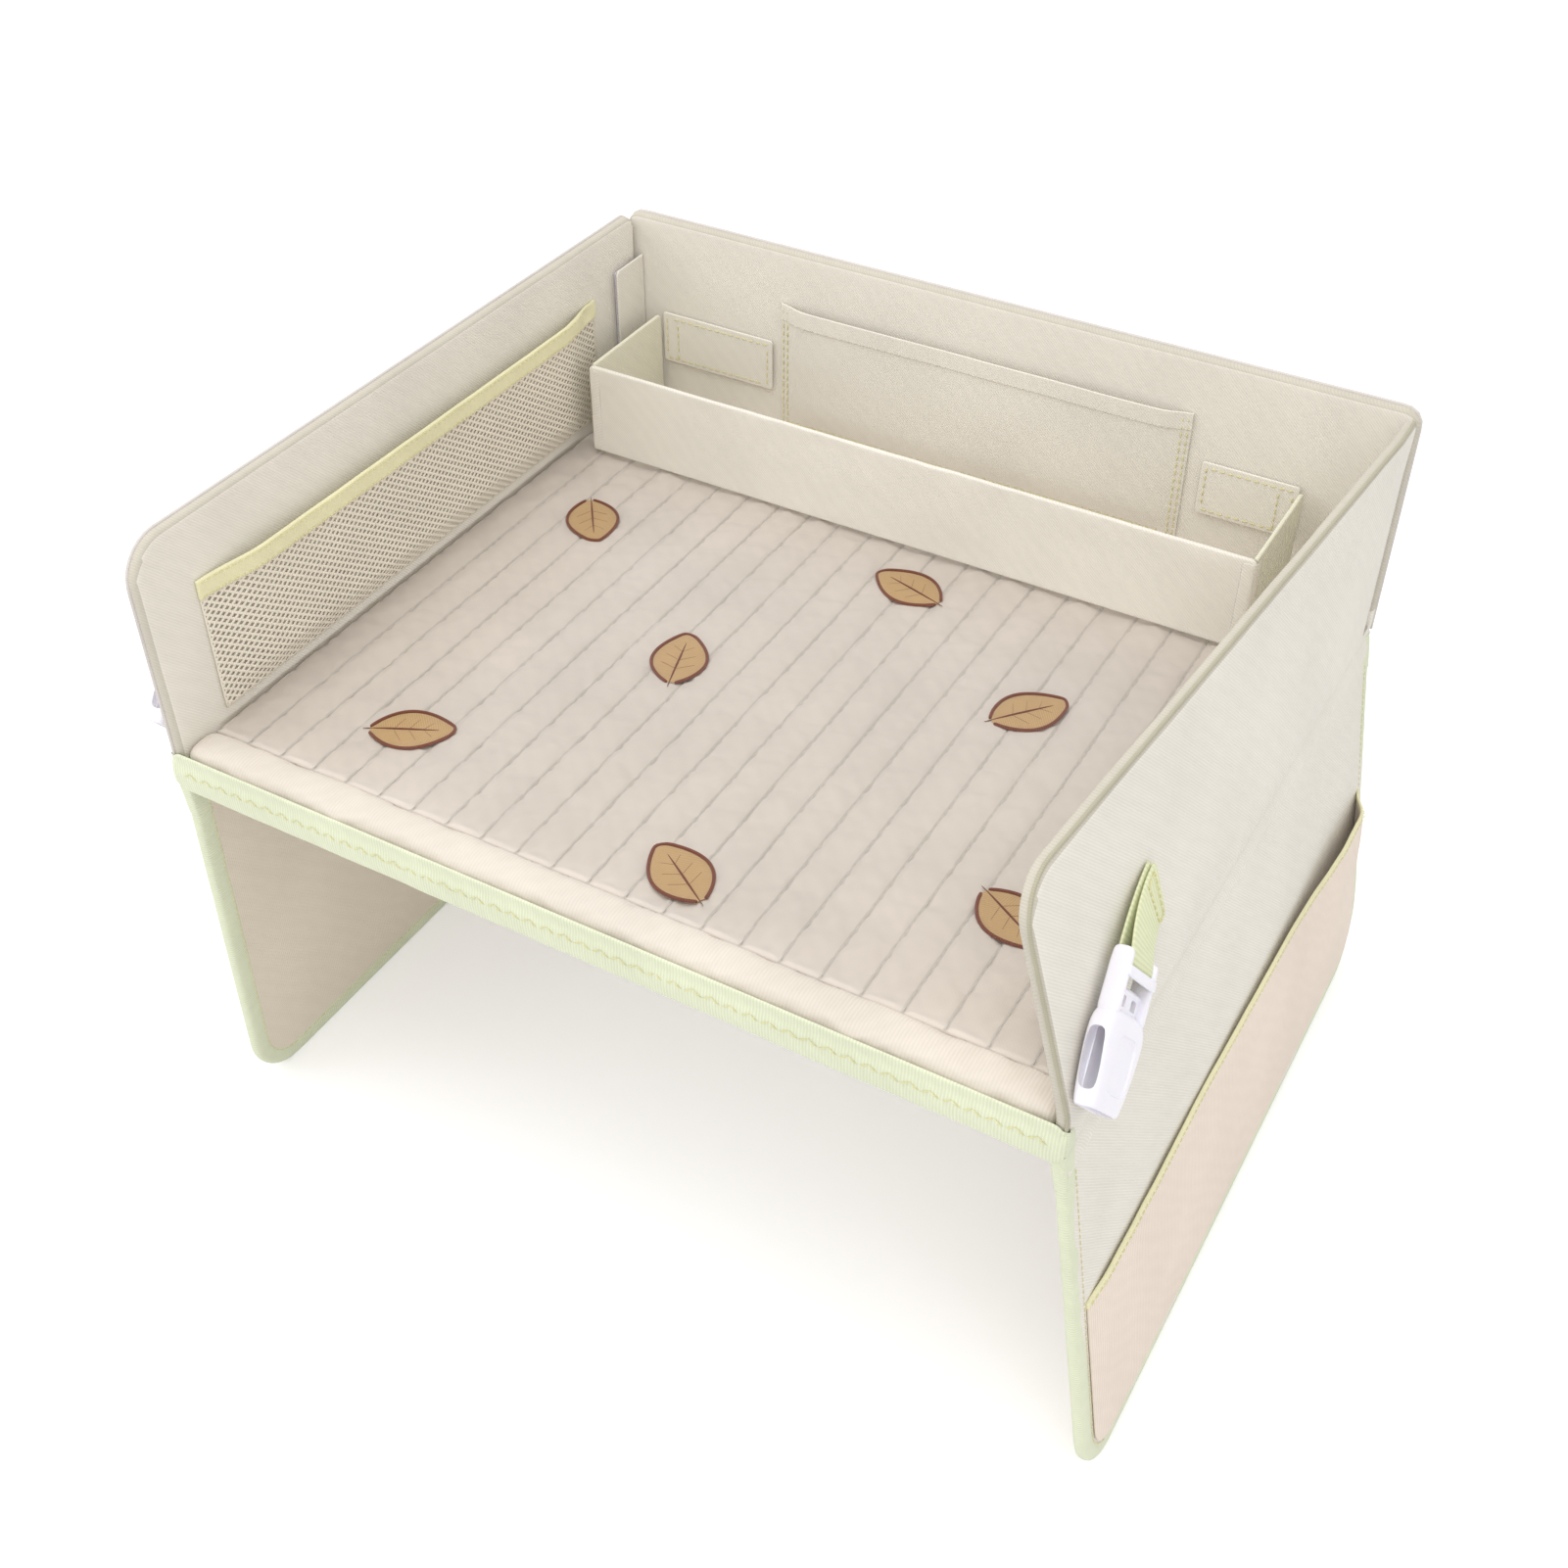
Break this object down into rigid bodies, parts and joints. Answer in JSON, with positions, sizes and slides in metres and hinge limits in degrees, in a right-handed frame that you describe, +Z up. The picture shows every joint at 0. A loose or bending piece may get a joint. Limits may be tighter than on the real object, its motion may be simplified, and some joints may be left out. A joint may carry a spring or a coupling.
{
  "type": "car seat tray table",
  "caption": "Quilted lap tray for a car seat with stiff folding fabric walls, a storage box, mesh pocket and two hanging side flaps.",
  "frame": {"origin": "centre of the bounding box, at the lowest point of the hanging flaps", "axes": "+Z up, +Y away from the child towards the back wall, +X towards the child's right"},
  "size_m": [0.445, 0.3574, 0.304],
  "materials": {
    "cream_fabric": "woven polyester, fine twill",
    "inner_fabric": "woven polyester, fine twill",
    "quilt_fabric": "quilted woven polyester",
    "green_binding": "ribbed woven tape",
    "yellow_binding": "woven tape",
    "mesh_fabric": "open knitted net",
    "pocket_fabric": "woven polyester",
    "board": "extruded plastic board",
    "foam": "soft foam sheet",
    "clear_film": "clear glossy vinyl film",
    "hook_tape": "hook and loop tape",
    "white_plastic": "moulded acetal, satin gloss"
  },
  "bodies": {
    "back_wall": {"back_pocket": "cream_fabric", "back_wall_board": "board", "back_wall_fold_piping": "cream_fabric", "back_wall_inner_cover": "cream_fabric", "back_wall_outer_cover": "cream_fabric", "left_corner_ear": "cream_fabric", "left_ear_hook_tape": "hook_tape", "left_tab_loop_tape": "hook_tape", "right_corner_ear": "cream_fabric", "right_ear_hook_tape": "hook_tape", "right_tab_loop_tape": "hook_tape"},
    "tray": {"base_board": "board", "base_foam": "foam", "base_under_cover": "cream_fabric", "clear_top_film": "clear_film", "front_binding": "green_binding", "front_roll": "cream_fabric", "quilted_pad": "quilt_fabric"},
    "storage_box": {"box_front_panel": "cream_fabric"},
    "box_left_end": {"box_left_end": "cream_fabric"},
    "box_left_tab": {"box_left_tab": "cream_fabric"},
    "box_right_end": {"box_right_end": "cream_fabric"},
    "box_right_tab": {"box_right_tab": "cream_fabric"},
    "left_buckle": {"left_buckle_socket": "white_plastic"},
    "left_flap": {"left_flap_binding": "green_binding", "left_flap_board": "board", "left_flap_fold_piping": "cream_fabric", "left_flap_inner_cover": "inner_fabric", "left_flap_outer_cover": "pocket_fabric", "left_flap_pocket": "pocket_fabric", "left_flap_pocket_binding": "yellow_binding"},
    "left_wall": {"left_mesh_pocket": "mesh_fabric", "left_mesh_pocket_binding": "yellow_binding", "left_wall_board": "board", "left_wall_fold_piping": "cream_fabric", "left_wall_inner_cover": "cream_fabric", "left_wall_loop_tape": "hook_tape", "left_wall_outer_cover": "cream_fabric"},
    "left_webbing_loop": {"left_webbing": "green_binding"},
    "right_buckle": {"right_buckle_socket": "white_plastic"},
    "right_flap": {"right_flap_binding": "green_binding", "right_flap_board": "board", "right_flap_fold_piping": "cream_fabric", "right_flap_inner_cover": "inner_fabric", "right_flap_outer_cover": "pocket_fabric", "right_flap_pocket": "pocket_fabric", "right_flap_pocket_binding": "yellow_binding"},
    "right_wall": {"right_wall_board": "board", "right_wall_fold_piping": "cream_fabric", "right_wall_inner_cover": "cream_fabric", "right_wall_loop_tape": "hook_tape", "right_wall_outer_cover": "cream_fabric"},
    "right_webbing_loop": {"right_webbing": "green_binding"}
  },
  "joints": [
    {"name": "left_flap_fold", "type": "hinge", "parent": "tray", "child": "left_flap", "pos_m": [-0.20701, 0.00075, 0.187], "axis": [0, -1, 0], "range_deg": [-90, 90]},
    {"name": "right_flap_fold", "type": "hinge", "parent": "tray", "child": "right_flap", "pos_m": [0.18779, 0.00075, 0.187], "axis": [0, 1, 0], "range_deg": [-81, 99]},
    {"name": "left_wall_fold", "type": "hinge", "parent": "tray", "child": "left_wall", "pos_m": [-0.20676, 0.00075, 0.19275], "axis": [0, -1, 0], "range_deg": [0, 90]},
    {"name": "right_wall_fold", "type": "hinge", "parent": "tray", "child": "right_wall", "pos_m": [0.18754, 0.00075, 0.19275], "axis": [0, 1, 0], "range_deg": [0, 90]},
    {"name": "back_wall_fold", "type": "hinge", "parent": "tray", "child": "back_wall", "pos_m": [-0.00961, 0.1759, 0.19275], "axis": [-1, 0, 0], "range_deg": [0, 90]},
    {"name": "storage_box_fold", "type": "hinge", "parent": "tray", "child": "storage_box", "pos_m": [-0.00961, 0.10605, 0.208], "axis": [1, 0, 0], "range_deg": [0, 90]},
    {"name": "box_left_end_fold", "type": "hinge", "parent": "storage_box", "child": "box_left_end", "pos_m": [-0.18961, 0.11005, 0.208], "axis": [0, 0, -1], "range_deg": [0, 24]},
    {"name": "box_right_end_fold", "type": "hinge", "parent": "storage_box", "child": "box_right_end", "pos_m": [0.14839, 0.11005, 0.208], "axis": [0, 0, 1], "range_deg": [0, 24]},
    {"name": "box_left_tab_peel", "type": "hinge", "parent": "box_left_end", "child": "box_left_tab", "pos_m": [-0.18821, 0.17105, 0.208], "axis": [0, 0, -1], "range_deg": [0, 36]},
    {"name": "box_right_tab_peel", "type": "hinge", "parent": "box_right_end", "child": "box_right_tab", "pos_m": [0.14699, 0.17105, 0.208], "axis": [0, 0, 1], "range_deg": [0, 36]},
    {"name": "left_webbing_swing", "type": "hinge", "parent": "left_wall", "child": "left_webbing_loop", "pos_m": [-0.2131, -0.10209, 0.26039], "axis": [0.0234, 0.6018, -0.7983], "range_deg": [0, 100]},
    {"name": "right_webbing_swing", "type": "hinge", "parent": "right_wall", "child": "right_webbing_loop", "pos_m": [0.18143, -0.10208, 0.26048], "axis": [-0.1979, -0.5986, 0.7762], "range_deg": [0, 100]},
    {"name": "left_buckle_pivot", "type": "hinge", "parent": "left_webbing_loop", "child": "left_buckle", "pos_m": [-0.21718, -0.12923, 0.23982], "axis": [0.0234, 0.6018, -0.7983], "range_deg": [0, 75]},
    {"name": "right_buckle_pivot", "type": "hinge", "parent": "right_webbing_loop", "child": "right_buckle", "pos_m": [0.18986, -0.12942, 0.24155], "axis": [-0.1979, -0.5986, 0.7762], "range_deg": [0, 75]}
  ]
}
